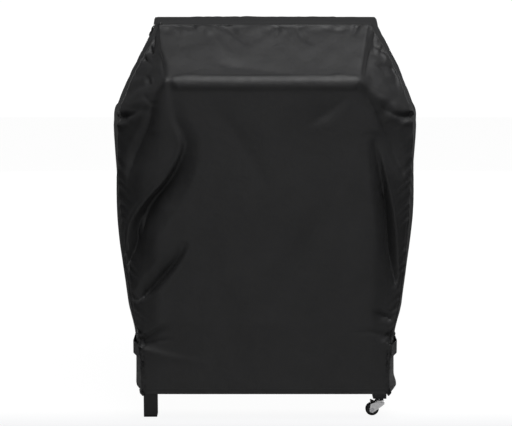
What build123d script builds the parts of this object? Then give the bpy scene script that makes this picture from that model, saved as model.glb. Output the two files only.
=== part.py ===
from build123d import *

import os
from math import atan2, cos, hypot, pi, sin

# A tailored cloth cover drawn down over a grill cart, which stands on two feet and two casters.
# Millimetres. +Z up, -Y is the front, the origin is on the floor at the middle of the footprint.

# ---- driving dimensions: the cloth ----
CLOTH = 1.6  # thickness of the coated cloth, as modelled
REST_GAP = 0.4  # room between the cloth and what it rests on
HEM_Z = 78.0  # height of the lower edge
CINCH_Z = 230.0  # height where the straps draw the skirt in
BELLY_Z = 450.0  # the sides swell between the cinch and the shelves
SKIRT_Z = 700.0  # above this the sides hang straight
SHELF_Z = 866.0  # the cloth bends over the side shelves here
HANDLE_Z = 958.0  # and over the lid's handle here
TOP_Z = 1095.0  # top of the cover
HALF_DEPTH = 280.0  # front and back faces
SIDE_X = 421.0  # half-width over the side shelves
TOP_FRONT_Y = -67.0  # the seam between the front panel and the top

# ---- driving dimensions: the straps ----
STRAP_LOW, STRAP_HIGH = 184.0, 222.0
STRAP_THICK = 1.2
PATCH_THICK = 1.0
PATCH_LONG = 60.0
PATCH_INSET = 4.0
STRAP_GAP = 0.4  # clearance between pieces that move apart
FRONT_STRAP_END_Y = 45.0
BACK_STRAP_END_Y = -25.0
BACK_STRAP_ROOT = 0.95  # where the back strap is sewn down, as a share of the way to the back seam

# ---- driving dimensions: the cart ----
LEG = 38.0
LEG_WALL = 1.5
LEG_X, LEG_Y = 324.0, 216.0
LEG_TOP = 637.0
RAIL = 25.0
RAIL_WALL = 1.2
LOWER_RAIL_Z = 200.0
SHEET = 1.5  # thickness of the sheet metal
FOOT_FLANGE = 5.0
FOOT_ROUND = 2.0
PLUG_LONG = 34.0
PLUG_FIT = 0.05  # room round a plug in its tube, on each side

# ---- driving dimensions: the grill body that the cloth rests on ----
FIREBOX_X, FIREBOX_Y = 298.0, 262.0
FIREBOX_FRONT = -236.0
FIREBOX_TOP = 858.0
LID_X = 294.0
LID_FRONT = -190.0
HANDLE_R, HANDLE_HALF = 11.0, 248.0
POST_X, POST_R = 205.0, 7.0
SHELF_THICK = 22.0
SHELF_CLEAR = 2.0  # room between a side shelf and the cloth over it
SHELF_FRONT, SHELF_BACK = -150.0, 196.0
SHELF_CORNER_R = 28.0
BRACKET_YS = (-80.0, 126.0)
BRACKET_REACH, BRACKET_DROP = 80.0, 70.0

# ---- driving dimensions: the casters ----
LEG_END_Z = 53.0  # underside of the sockets that carry the casters
WHEEL_R, TREAD_WIDE, TREAD_ROUND = 19.0, 15.0, 4.5
HUB_R, HUB_BOSS_R, HUB_WIDE = 12.5, 6.5, 18.0
TRAIL = 20.0  # the wheel's centre trails the swivel axis by this
AXLE_R, AXLE_HEAD_R, AXLE_HEAD = 3.0, 5.0, 1.5
RUNNING = 0.06  # clearance of a pin in its bore
FORK_PLATE = 2.0
FORK_HALF = 12.0  # outside of the fork's cheeks
FORK_TOP_Z = 41.0
FORK_NOSE_X, FORK_TAIL_X = 14.0, -25.0
CHEEK_END_R = 7.5
KING_PIN_R, KING_HEAD_R, KING_HEAD = 4.0, 6.0, 2.5
RACE_R, RACE_WALL, RACE_STEP = 12.5, 1.4, 0.8
BALL_R, BALL_PITCH_R, BALL_COUNT = 1.5, 8.5, 14
BALL_PLAY = 0.05
STEM_R, STEM_LONG = 5.0, 30.0
COLLAR_R, COLLAR_NOTCH = 12.0, 7.0
PEDAL_X, PEDAL_Z = -10.0, 38.0  # the pedal's pivot
PEDAL_BOSS_R, PEDAL_PIN_R = 2.1, 1.0
PEDAL_TIP_X, PEDAL_TIP_Z = -26.0, 43.8
PEDAL_THICK = 2.4

os.makedirs("parts", exist_ok=True)


def save(name, *solids):
    """Writes one node, of one or more separate solids."""
    shape = solids[0] if len(solids) == 1 else Compound(children=list(solids))
    export_step(shape, f"parts/{name}.step")


def block(low, high):
    """A box between two corners."""
    size = [b - a for a, b in zip(low, high)]
    return Pos(*low) * Box(*size, align=(Align.MIN, Align.MIN, Align.MIN))


def rod(radius, low, high):
    """A round bar from one point to another."""
    along = Vector(*high) - Vector(*low)
    bar = Cylinder(radius, along.length, align=(Align.CENTER, Align.CENTER, Align.MIN))
    return Plane(origin=low, z_dir=along) * bar


def tube(low, high, wall, along):
    """A square tube, open at both ends, that fills a box; along is 0, 1 or 2 for X, Y or Z."""
    inner_low = [c if i == along else c + wall for i, c in enumerate(low)]
    inner_high = [c if i == along else c - wall for i, c in enumerate(high)]
    return block(low, high) - block(inner_low, inner_high)


def plate_xz(points, y, thick):
    """A flat plate of the given outline in X and Z, centred on y."""
    return Pos(0, y, 0) * extrude(make_face(Plane.XZ * Polyline(*points, close=True)), thick / 2, both=True)


# ---- the cloth's outline from above, at the heights where it changes ----
# Right-hand half. In order: the fold at the edge of the flat front, the front seam, the front and
# the back end of the flat side, the back seam.
FRONT, BACK = -HALF_DEPTH, HALF_DEPTH
LEVELS = [
    (HEM_Z, [(326, FRONT), (344, -277), (370, -218), (368, 222), (346, BACK)]),
    (CINCH_Z, [(330, FRONT), (351, -276), (365, -222), (365, 222), (350, BACK)]),
    (BELLY_Z, [(334, FRONT), (384, -254), (399, -196), (399, 214), (380, BACK)]),
    (SKIRT_Z, [(330, FRONT), (402, -236), (SIDE_X, -150), (SIDE_X, 200), (402, BACK)]),
    (SHELF_Z, [(300, FRONT), (404, -216), (SIDE_X, -140), (SIDE_X, 200), (404, BACK)]),
    (HANDLE_Z, [(255, FRONT), (358, -150), (374, -66), (378, 190), (375, BACK)]),
    (TOP_Z - CLOTH, [(292, TOP_FRONT_Y), (298, TOP_FRONT_Y + 4), (305, 0), (320, 200), (325, BACK)]),
]
SEAM, SIDE_FRONT, SIDE_BACK, BACK_SEAM = 1, 2, 3, 4
# How each of those points moves when the outline shrinks by one unit.
INWARD = [(-0.3, 1.0), (-0.8, 0.8), (-1.0, 0.3), (-1.0, -0.3), (-0.8, -1.0)]


def outline(z, grow=0.0):
    """The five outline points at height z, moved outwards by grow."""
    above = next(i for i in range(1, len(LEVELS)) if z <= LEVELS[i][0] + 1e-6)
    (z0, low), (z1, high) = LEVELS[above - 1], LEVELS[above]
    t = (z - z0) / (z1 - z0)
    points = [(a[0] + t * (b[0] - a[0]), a[1] + t * (b[1] - a[1])) for a, b in zip(low, high)]
    return [(x - grow * dx, y - grow * dy) for (x, y), (dx, dy) in zip(points, INWARD)]


def mirrored(points):
    return [(-x, y) for x, y in points]


def wall(strip, heights, side=1):
    """A thin sheet as a ruled solid. strip(z) gives its outer and its inner line of points."""
    rings = []
    for z in heights:
        outer, inner = strip(z)
        ring = [(side * x, y) for x, y in outer + inner[::-1]]
        rings.append((Pos(0, 0, z) * make_face(Polyline(*ring, close=True))).face().outer_wire())
    return Solid.make_loft(rings, ruled=True)


def front_strip(z):
    outer, inner = outline(z)[: SEAM + 1], outline(z, -CLOTH)[: SEAM + 1]
    return mirrored(outer)[::-1] + outer, mirrored(inner)[::-1] + inner


def side_strip(z):
    return outline(z)[SEAM:], outline(z, -CLOTH)[SEAM:]


def back_strip(z):
    (x, y), (inner_x, inner_y) = outline(z)[BACK_SEAM], outline(z, -CLOTH)[BACK_SEAM]
    return [(x, y), (-x, y)], [(inner_x, inner_y), (-inner_x, inner_y)]


def make_cloth():
    heights = [level[0] for level in LEVELS]
    save("front_panel", wall(front_strip, heights))
    save("right_side_panel", wall(side_strip, heights))
    save("left_side_panel", wall(side_strip, heights, -1))
    save("back_panel", wall(back_strip, heights))
    right = outline(TOP_Z - CLOTH)
    top = make_face(Polyline(*right, *mirrored(right)[::-1], close=True))
    save("top_panel", extrude(Pos(0, 0, TOP_Z - CLOTH) * top, CLOTH))


# ---- the hook-and-loop straps that draw the skirt in, one pair on each side ----
def make_straps():
    loop_off = STRAP_GAP + STRAP_THICK
    hook_off = loop_off + PATCH_THICK + STRAP_GAP
    front_off = hook_off + PATCH_THICK
    loop_start = BACK_STRAP_END_Y + PATCH_INSET
    hook_end = FRONT_STRAP_END_Y - PATCH_INSET

    def front_line(z, extra):
        """Out of the front seam, then back along the flat side."""
        root_x, root_y = outline(z, STRAP_GAP + extra)[SEAM]
        x, y = outline(z, front_off + extra)[SIDE_FRONT]
        return [(root_x, root_y), (x, y), (x, FRONT_STRAP_END_Y)]

    def back_line(z, extra):
        """From beside the back seam, then forward along the flat side."""
        points = outline(z, STRAP_GAP + extra)
        (x, y), (seam_x, seam_y) = points[SIDE_BACK], points[BACK_SEAM]
        root = (x + BACK_STRAP_ROOT * (seam_x - x), y + BACK_STRAP_ROOT * (seam_y - y))
        return [root, (x, y), (x, BACK_STRAP_END_Y)]

    def flat_line(z, off, start_y):
        """Along the flat side, a patch's length."""
        x = outline(z, off)[SIDE_BACK][0]
        return [(x, start_y), (x, start_y + PATCH_LONG)]

    def front(z):
        return front_line(z, STRAP_THICK), front_line(z, 0)

    def back(z):
        return back_line(z, STRAP_THICK), back_line(z, 0)

    def hook(z):
        start = hook_end - PATCH_LONG
        return flat_line(z, hook_off + PATCH_THICK, start), flat_line(z, hook_off, start)

    def loop(z):
        return flat_line(z, loop_off + PATCH_THICK, loop_start), flat_line(z, loop_off, loop_start)

    strap_heights = [STRAP_LOW, STRAP_HIGH]
    patch_heights = [STRAP_LOW + PATCH_INSET, STRAP_HIGH - PATCH_INSET]
    for name, side in (("right", 1), ("left", -1)):
        save(f"{name}_front_strap", wall(front, strap_heights, side))
        save(f"{name}_hook_patch", wall(hook, patch_heights, side))
        save(f"{name}_back_strap", wall(back, strap_heights, side))
        save(f"{name}_loop_patch", wall(loop, patch_heights, side))


# ---- the cart ----
def make_leg(name, x, y, end_z):
    """A square tube from just above end_z to the grill body."""
    half = LEG / 2
    low, high = (x - half, y - half, end_z + FOOT_FLANGE), (x + half, y + half, LEG_TOP)
    save(name, tube(low, high, LEG_WALL, 2))


def make_plug(x, y, end_z):
    """A plastic plug pressed into a leg's end, with a flange as wide as the leg."""
    half, plug = LEG / 2, LEG / 2 - LEG_WALL - PLUG_FIT
    flange = block((x - half, y - half, end_z), (x + half, y + half, end_z + FOOT_FLANGE))
    flange = fillet(flange.edges().filter_by(Axis.Z), FOOT_ROUND)
    flange = fillet(flange.faces().sort_by(Axis.Z)[0].edges(), FOOT_ROUND / 2)
    top = end_z + FOOT_FLANGE + PLUG_LONG
    return flange + block((x - plug, y - plug, end_z + FOOT_FLANGE), (x + plug, y + plug, top))


def make_socket(x, y):
    """The plug that takes a caster's stem, with a notched collar under it."""
    collar_z = race_top_z()
    socket = make_plug(x, y, LEG_END_Z) + rod(COLLAR_R, (x, y, collar_z), (x, y, LEG_END_Z))
    reach, notch = COLLAR_R + 1, COLLAR_NOTCH / 2
    socket -= block((x - reach, y - notch, collar_z), (x + reach, y + notch, LEG_END_Z))
    socket -= block((x - notch, y - reach, collar_z), (x + notch, y + reach, LEG_END_Z))
    return socket - rod(STEM_R + PLUG_FIT, (x, y, collar_z), (x, y, LEG_END_Z + STEM_LONG + 1))


def make_legs():
    for end, y in (("front", -LEG_Y), ("back", LEG_Y)):
        make_leg(f"left_{end}_leg", -LEG_X, y, 0)
        make_leg(f"right_{end}_leg", LEG_X, y, LEG_END_Z)
        save(f"left_{end}_foot_cap", make_plug(-LEG_X, y, 0))
        save(f"right_{end}_stem_socket", make_socket(LEG_X, y))


def make_frame():
    half = RAIL / 2
    across, along = LEG_X - LEG / 2, LEG_Y - LEG / 2
    for level, z in (("lower", LOWER_RAIL_Z), ("upper", LEG_TOP - RAIL)):
        ends = [((-across, y - half, z), (across, y + half, z + RAIL)) for y in (-LEG_Y, LEG_Y)]
        save(f"{level}_cross_rails", *[tube(low, high, RAIL_WALL, 0) for low, high in ends])
        sides = [((x - half, -along, z), (x + half, along, z + RAIL)) for x in (-LEG_X, LEG_X)]
        save(f"{level}_side_rails", *[tube(low, high, RAIL_WALL, 1) for low, high in sides])
    x, y, z = across - 1, LEG_Y + half, LOWER_RAIL_Z + RAIL
    save("bottom_shelf", block((-x, -y, z), (x, y, z + SHEET)))


def make_firebox():
    """Five plates round the fire: front, back, two ends and a floor."""
    x, y, low_z, high_z = FIREBOX_X, FIREBOX_Y, LEG_TOP, FIREBOX_TOP
    inner = x - SHEET
    front = block((-inner, FIREBOX_FRONT, low_z), (inner, FIREBOX_FRONT + SHEET, high_z))
    save("firebox_front", front)
    save("firebox_back", block((-inner, y - SHEET, low_z), (inner, y, high_z)))
    spans = [(-x, -inner), (inner, x)]
    save("firebox_ends", *[block((a, FIREBOX_FRONT, low_z), (b, y, high_z)) for a, b in spans])
    floor_low = (-inner, FIREBOX_FRONT + SHEET, low_z)
    save("firebox_floor", block(floor_low, (inner, y - SHEET, low_z + SHEET)))


def lid_face():
    """The lid's outline from the side."""
    top = TOP_Z - CLOTH - REST_GAP
    points = [
        (FIREBOX_Y, FIREBOX_TOP),
        (FIREBOX_Y, top),
        (TOP_FRONT_Y + 14, top),
        (-118, 1036),
        (-174, 962),
        (LID_FRONT, 900),
        (LID_FRONT, FIREBOX_TOP),
    ]
    return make_face(Plane.YZ * Polyline(*points, close=True))


def make_lid():
    """A bent skin between two end plates, and its handle bar on two posts."""
    outer = lid_face()
    inner = offset(outer, -SHEET, kind=Kind.INTERSECTION)
    skin = outer - inner - Pos(0, 0, -2 * SHEET) * inner
    save("lid_skin", extrude(skin, LID_X - SHEET, both=True))
    ends = [Pos(side * (LID_X - SHEET / 2), 0, 0) * extrude(outer, SHEET / 2, both=True) for side in (-1, 1)]
    save("lid_ends", *ends)

    # the bar fills the corner between the cloth's front and its slope
    slope = atan2(TOP_Z - HANDLE_Z, TOP_FRONT_Y - FRONT)
    off = HANDLE_R + CLOTH + REST_GAP
    y, z = FRONT + off, HANDLE_Z - off * (1 - sin(slope)) / cos(slope)
    handle = rod(HANDLE_R, (-HANDLE_HALF, y, z), (HANDLE_HALF, y, z))
    save("lid_handle", fillet(handle.edges().filter_by(GeomType.CIRCLE), 3))
    solid_lid = extrude(outer, LID_X, both=True)
    posts = [rod(POST_R, (x, y, z), (x, LID_FRONT + 40, z)) - handle - solid_lid for x in (-POST_X, POST_X)]
    save("handle_posts", *[post.solids().sort_by(SortBy.VOLUME)[-1] for post in posts])


def shelf_tray(half_width, front, back, low_z, high_z, corner_r):
    """A slab out from the grill body's side, with its two outer corners rounded."""
    slab = block((FIREBOX_X, front, low_z), (half_width, back, high_z))
    return fillet(slab.edges().filter_by(Axis.Z).group_by(Axis.X)[-1], corner_r)


def make_side_shelves():
    top = SHELF_Z - CLOTH - SHELF_CLEAR
    low = top - SHELF_THICK
    out = SIDE_X - CLOTH - REST_GAP - 0.5
    tray = shelf_tray(out, SHELF_FRONT, SHELF_BACK, low, top, SHELF_CORNER_R)
    front, back = SHELF_FRONT + SHEET, SHELF_BACK - SHEET
    tray -= shelf_tray(out - SHEET, front, back, low, top - SHEET, SHELF_CORNER_R - SHEET)
    save("right_side_shelf", tray)
    save("left_side_shelf", mirror(tray, Plane.YZ))
    brackets = []
    for side in (-1, 1):
        x = side * FIREBOX_X
        points = [(x, low), (x + side * BRACKET_REACH, low), (x, low - BRACKET_DROP)]
        brackets += [plate_xz(points, y, 2 * SHEET) for y in BRACKET_YS]
    save("shelf_brackets", *brackets)


# ---- the casters, each drawn with its swivel axis on Z and its wheel trailing towards -X ----
def race_top_z():
    """Top of a caster's upper race, where the socket's collar rests on it."""
    return FORK_TOP_Z + RACE_STEP + 2 * (BALL_R + BALL_PLAY) + RACE_WALL


def make_wheel():
    tread = Rectangle(WHEEL_R - HUB_R, TREAD_WIDE)
    tread = fillet(tread.vertices().group_by(Axis.X)[-1], TREAD_ROUND)
    tyre = revolve(Pos((WHEEL_R + HUB_R) / 2, 0) * tread, Axis.Y)
    bore_r = AXLE_R + RUNNING
    web = Pos((HUB_R + bore_r) / 2, 0) * Rectangle(HUB_R - bore_r, TREAD_WIDE - 3)
    boss = Pos((HUB_BOSS_R + bore_r) / 2, 0) * Rectangle(HUB_BOSS_R - bore_r, HUB_WIDE)
    place = Pos(-TRAIL, 0, WHEEL_R)
    return place * tyre, place * revolve(web + boss, Axis.Y)


def make_axle():
    """A pin through both cheeks with a riveted head at each end."""
    bar = rod(AXLE_R, (-TRAIL, -FORK_HALF, WHEEL_R), (-TRAIL, FORK_HALF, WHEEL_R))
    for y in (-FORK_HALF - AXLE_HEAD, FORK_HALF):
        bar += rod(AXLE_HEAD_R, (-TRAIL, y, WHEEL_R), (-TRAIL, y + AXLE_HEAD, WHEEL_R))
    return bar


def make_fork():
    """A pressed plate: a flat top, two cheeks down to the axle, and the lower ball race."""
    upper = Polyline(
        (FORK_TAIL_X, 35.5), (PEDAL_X, FORK_TOP_Z), (FORK_NOSE_X, FORK_TOP_Z), (FORK_NOSE_X, 35), close=True
    )
    end = Pos(-TRAIL, WHEEL_R - 1.5) * Circle(CHEEK_END_R)
    cheek = Plane.XZ * make_hull(upper.edges() + end.edges())
    shell = block((-7.4, -FORK_HALF, FORK_TOP_Z - FORK_PLATE), (FORK_NOSE_X, FORK_HALF, FORK_TOP_Z))
    for y in (FORK_HALF, -FORK_HALF + FORK_PLATE):
        shell += Pos(0, y, 0) * extrude(cheek, FORK_PLATE)
    shell += rod(RACE_R - RACE_WALL - 0.6, (0, 0, FORK_TOP_Z), (0, 0, FORK_TOP_Z + RACE_STEP))
    shell -= rod(KING_PIN_R + RUNNING, (0, 0, FORK_TOP_Z - 5), (0, 0, FORK_TOP_Z + 5))
    shell -= rod(AXLE_R, (-TRAIL, -FORK_HALF, WHEEL_R), (-TRAIL, FORK_HALF, WHEEL_R))
    return shell - rod(PEDAL_PIN_R, (PEDAL_X, -FORK_HALF, PEDAL_Z), (PEDAL_X, FORK_HALF, PEDAL_Z))


def make_pedal():
    """The brake lever: a boss on its pin and a tab that rises over the wheel."""
    half = FORK_HALF - FORK_PLATE - 0.4
    boss = rod(PEDAL_BOSS_R, (PEDAL_X, -half, PEDAL_Z), (PEDAL_X, half, PEDAL_Z))
    run, rise = PEDAL_TIP_X - PEDAL_X, PEDAL_TIP_Z - PEDAL_Z
    tilt, length = atan2(rise, -run) * 180 / pi, hypot(run, rise)
    tab = Pos(-length / 2, 0, 0) * Box(length, 2 * half, PEDAL_THICK)
    tab = fillet(tab.edges().filter_by(Axis.Z).group_by(Axis.X)[0], 4)
    lever = boss + Pos(PEDAL_X, 0, PEDAL_Z) * Rot(0, tilt, 0) * tab
    bore = rod(PEDAL_PIN_R + RUNNING, (PEDAL_X, -half, PEDAL_Z), (PEDAL_X, half, PEDAL_Z))
    return lever - bore


def make_races():
    """The ring of balls, and the pressed cap that runs on them."""
    step_z = FORK_TOP_Z + RACE_STEP
    ball_z = step_z + BALL_PLAY + BALL_R
    angles = [2 * pi * i / BALL_COUNT for i in range(BALL_COUNT)]
    places = [Pos(BALL_PITCH_R * cos(a), BALL_PITCH_R * sin(a), ball_z) for a in angles]
    balls = [place * Sphere(BALL_R) for place in places]
    top = race_top_z()
    cap = fillet(rod(RACE_R, (0, 0, step_z + 0.4), (0, 0, top)).edges().group_by(Axis.Z)[-1], RACE_WALL - 0.2)
    cap -= rod(RACE_R - RACE_WALL, (0, 0, FORK_TOP_Z), (0, 0, top - RACE_WALL))
    return balls, cap - rod(KING_PIN_R, (0, 0, FORK_TOP_Z), (0, 0, top))


def make_stem():
    """The king pin, headed below the fork, with the stem that stands in the leg's socket."""
    plate_z = FORK_TOP_Z - FORK_PLATE - 0.3
    stem = rod(KING_HEAD_R, (0, 0, plate_z - KING_HEAD), (0, 0, plate_z))
    stem += rod(KING_PIN_R, (0, 0, plate_z), (0, 0, race_top_z()))
    return stem + rod(STEM_R, (0, 0, race_top_z()), (0, 0, LEG_END_Z + STEM_LONG))


def make_caster(name, y):
    place = Pos(LEG_X, y, 0)
    tyre, hub = make_wheel()
    balls, cap = make_races()
    pin = rod(PEDAL_PIN_R, (PEDAL_X, -FORK_HALF, PEDAL_Z), (PEDAL_X, FORK_HALF, PEDAL_Z))
    pieces = {
        "tyre": tyre,
        "wheel_hub": hub,
        "axle": make_axle(),
        "fork": make_fork(),
        "brake_pedal": make_pedal(),
        "pedal_pin": pin,
        "upper_race": cap,
        "caster_stem": make_stem(),
    }
    for piece, solid in pieces.items():
        save(f"{name}_{piece}", place * solid)
    save(f"{name}_bearing_balls", *[place * ball for ball in balls])


make_cloth()
make_straps()
make_legs()
make_frame()
make_firebox()
make_lid()
make_side_shelves()
make_caster("front", -LEG_Y)
make_caster("back", LEG_Y)
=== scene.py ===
"""The looks of a covered grill cart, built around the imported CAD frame, in metres.

The cover's outline is read from the CAD wall panels. It is turned into cut and sewn cloth panels with folds,
puckers, seams, a turned hem and stitching. The cart's CAD nodes keep their shapes and get materials.
"""
import math

import bpy
import numpy as np
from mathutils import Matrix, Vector, noise
from mathutils.bvhtree import BVHTree


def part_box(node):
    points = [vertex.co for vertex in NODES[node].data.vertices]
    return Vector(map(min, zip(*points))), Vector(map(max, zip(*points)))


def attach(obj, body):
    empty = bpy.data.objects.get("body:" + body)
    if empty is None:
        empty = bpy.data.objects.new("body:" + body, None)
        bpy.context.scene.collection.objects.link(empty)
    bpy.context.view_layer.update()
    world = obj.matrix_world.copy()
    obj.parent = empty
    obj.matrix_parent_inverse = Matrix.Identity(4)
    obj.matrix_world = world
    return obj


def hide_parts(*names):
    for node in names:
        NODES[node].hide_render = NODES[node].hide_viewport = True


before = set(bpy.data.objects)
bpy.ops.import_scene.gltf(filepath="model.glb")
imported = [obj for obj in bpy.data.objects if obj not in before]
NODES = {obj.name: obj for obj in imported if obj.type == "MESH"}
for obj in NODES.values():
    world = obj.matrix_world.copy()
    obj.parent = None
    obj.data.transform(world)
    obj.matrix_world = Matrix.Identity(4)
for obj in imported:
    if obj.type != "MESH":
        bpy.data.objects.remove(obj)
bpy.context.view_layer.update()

# ---------------- driving dimensions

WALLS = ("front_panel", "right_side_panel", "back_panel", "left_side_panel")
SIDES = (("right", 1), ("left", -1))
HEM_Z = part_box("front_panel")[0].z
TOP_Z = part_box("top_panel")[1].z
FRONT_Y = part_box("front_panel")[0].y
# the flat front ends where the cloth bends over the lid's handle
HANDLE_Z = round(max(v.co.z for v in NODES["front_panel"].data.vertices if v.co.y < FRONT_Y + 0.0001), 4)
SHELF_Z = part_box("right_side_shelf")[1].z + 0.004
STRAP_LOW, STRAP_HIGH = (corner.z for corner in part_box("right_front_strap"))
STRAP_Z = (STRAP_LOW + STRAP_HIGH) / 2
CENTRE_Y = 0.106  # inside the cover at every height, below the top panel

CLOTH = 0.0007  # thickness of the coated cloth
WEBBING = 0.0012
PATCH = 0.0006
NUB = 0.0002  # height of the hooks and loops
ALLOWANCE = 0.009  # cloth beyond each seam
SEAM_TUCK = 0.008  # how far it reaches into the cover
HEM_TURN = 0.022
CLEARANCE = 0.003  # between the cloth and what it covers
PROBE = 0.035  # rays towards the cart start this far outside the cloth, and go this far inside it
REACH = 0.06

# depths of the cloth's waves, puckers and folds, and how far it bulges
SKIRT_WAVE, SKIRT_RIPPLE = 0.0030, 0.0012
SEAM_PUCKER, FRONT_PUCKER, LOW_PUCKER = 0.0020, 0.0012, 0.0022
TOP_PUCKER, SLOPE_WAVE, TOP_RIPPLE = 0.0075, 0.0055, 0.0022
DENT, WRINKLE, DRAPE = 0.0065, 0.0070, 0.0100
PLEAT, SIDE_FOLD, BACK_FOLD = 0.0030, 0.011, 0.006
BELLY, SIDE_BULGE, SLIMMER, HANDLE_EDGE = 0.010, 0.009, 0.004, 0.0044
HEM_CURL, STRAP_PRESS = 0.0080, 0.0012

# points across each part of the cover's grid, and up it
WING_STEPS = 26
MIDDLE_STEPS = 98
SIDE_STEPS = 100
SKIRT_STEPS = 160
SLOPE_STEPS = 46
HEM_ROWS = (0, 0.002, 0.005, 0.010, 0.0175, 0.020, 0.0225)
HEM_MIDDLE, HEM_STITCHED = 3, 5
FRONT_COLUMNS = 2 * (WING_STEPS + 1) + MIDDLE_STEPS - 2
SIDE_COLUMNS = SIDE_STEPS + 2
SEAM_COLUMNS = [0, FRONT_COLUMNS - 1, FRONT_COLUMNS + SIDE_COLUMNS - 2, 2 * FRONT_COLUMNS + SIDE_COLUMNS - 3]
ALL_COLUMNS = SEAM_COLUMNS[3] + SIDE_COLUMNS - 1
LEFT_FOLD = WING_STEPS
RIGHT_FOLD = WING_STEPS + MIDDLE_STEPS - 1

# ---------------- outline read from the CAD panels


def node_tree(names):
    """A ray-casting tree over CAD nodes, and the node's name for each face."""
    points, faces, owners = [], [], []
    for name in names:
        mesh = NODES[name].data
        start = len(points)
        points += [vertex.co.copy() for vertex in mesh.vertices]
        for face in mesh.polygons:
            faces.append([start + index for index in face.vertices])
            owners.append(name)
    return BVHTree.FromPolygons(points, faces), owners


WALL_TREE, WALL_OWNER = node_tree(WALLS)


def wall_hit(height, angle):
    """The outermost point of the walls at this height. Angle 0 looks at the front, and grows to the right."""
    out = Vector((math.sin(angle), -math.cos(angle), 0))
    start = Vector((0, CENTRE_Y, height)) + out
    point, _, index, _ = WALL_TREE.ray_cast(start, -out, 0.98)
    return (None, None) if point is None else (point, WALL_OWNER[index])


def last_angle(height, low, high, belongs):
    """Halves the gap between low, where belongs() holds, and high, where it doesn't."""
    for _ in range(16):
        middle = (low + high) / 2
        point, owner = wall_hit(height, middle)
        if point is not None and belongs(point, owner):
            low = middle
        else:
            high = middle
    return low


def wall_line(height, start, end, steps):
    """Points on the outline from one angle to another."""
    points = [wall_hit(height, angle)[0] for angle in np.linspace(start, end, steps)]
    return np.array([list(point) for point in points if point is not None])


def run_along(line):
    """How far along a line each of its points is."""
    return np.concatenate([[0], np.cumsum(np.linalg.norm(np.diff(line, axis=0), axis=1))])


def between(distance, run, points):
    """The point at this distance along a line of points, or the points at these distances."""
    return np.stack([np.interp(distance, run, points[:, axis]) for axis in range(3)], -1)


def along(line, places):
    """Points at these fractions of a line's length."""
    run = run_along(line)
    return between(np.array(places) * run[-1], run, line)


def places_between(steps, near_start, near_end, line):
    """Even fractions from 0 to 1, with one more place close beside each seam."""
    places = list(np.linspace(0, 1, steps))
    close = min(0.002 / float(run_along(line)[-1]), 0.25 / steps)
    if near_start:
        places.insert(1, close)
    if near_end:
        places.insert(-1, 1 - close)
    return places


def outline(height):
    """One ring of cover points: front from its left seam, right side, back and left side."""
    probe = min(max(height, HEM_Z + 0.0004), TOP_Z - 0.0022)
    quarter = math.pi / 2
    nudge = 0.0004
    seams = []
    for index, wall in enumerate(WALLS):
        start = index * quarter
        seams.append(last_angle(probe, start, start + quarter, lambda point, owner: owner == wall))
    seams = [seams[3] - 4 * quarter] + seams
    front_y = wall_hit(probe, 0)[0].y

    def on_flat_front(point, owner):
        return owner == "front_panel" and abs(point.y - front_y) < 0.0004

    fold = last_angle(probe, 0, seams[1], on_flat_front)
    left_wing = wall_line(probe, seams[0] + nudge, -fold, 40)
    middle = wall_line(probe, -fold, fold, 40)
    right_wing = wall_line(probe, fold, seams[1] - nudge, 40)
    parts = [
        along(left_wing, places_between(WING_STEPS, True, False, left_wing))[:-1],
        along(middle, np.linspace(0, 1, MIDDLE_STEPS))[:-1],
        along(right_wing, places_between(WING_STEPS, False, True, right_wing)),
    ]
    for index, steps in ((1, SIDE_STEPS), (2, FRONT_COLUMNS - 2), (3, SIDE_STEPS)):
        line = wall_line(probe, seams[index] + nudge, seams[index + 1] - nudge, 120)
        parts.append(along(line, places_between(steps, True, True, line))[1:])
    ring = np.concatenate(parts)[:-1]
    ring[:, 2] = height
    return ring


def cover_heights():
    """Heights of the grid's rows, closer at the hem's stitch line and by the top seam."""
    hem = [HEM_Z + up for up in HEM_ROWS]
    skirt = list(np.linspace(HEM_Z + 0.032, HANDLE_Z, SKIRT_STEPS))
    slope = list(np.linspace(HANDLE_Z, TOP_Z, SLOPE_STEPS))[1:-1]
    return np.array(hem + skirt + slope + [TOP_Z - 0.0015, TOP_Z - 0.0005])


# ---------------- array helpers for the cover's grid


def ring_normals(grid):
    """Outward unit normals of the ring-shaped grid."""
    around = np.roll(grid, -1, axis=1) - np.roll(grid, 1, axis=1)
    upward = np.gradient(grid, axis=0)
    normals = np.cross(around, upward)
    return normals / np.maximum(np.linalg.norm(normals, axis=2, keepdims=True), 1e-9)


def relax(grid, passes, around_weight, up_weight):
    """Eases the grid along its normals only, so that its lines stay where they are."""
    for _ in range(passes):
        normals = ring_normals(grid)
        around = (np.roll(grid, -1, axis=1) + np.roll(grid, 1, axis=1)) / 2 - grid
        upward = np.zeros_like(grid)
        upward[1:-1] = (grid[2:] + grid[:-2]) / 2 - grid[1:-1]
        pull = around * around_weight[..., None] + upward * up_weight[..., None]
        grid = grid + normals * (pull * normals).sum(2, keepdims=True)
    return grid


def step(values, low, high):
    """A smooth step from 0 at low to 1 at high."""
    t = np.clip((values - low) / (high - low), 0, 1)
    return t * t * (3 - 2 * t)


def eased_path(path, steps=6):
    """A smooth curve through a fold's points, as more points."""
    points = np.array([path[0]] + list(path) + [path[-1]], float) / 1000
    curve = []
    for before, start, end, after in zip(points, points[1:], points[2:], points[3:]):
        for t in np.arange(steps) / steps:
            turn = (2 * before - 5 * start + 4 * end - after) * t ** 2
            swing = (3 * start - before - 3 * end + after) * t ** 3
            curve.append((2 * start + (end - before) * t + turn + swing) / 2)
    return np.array(curve + [points[-1]])


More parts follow.
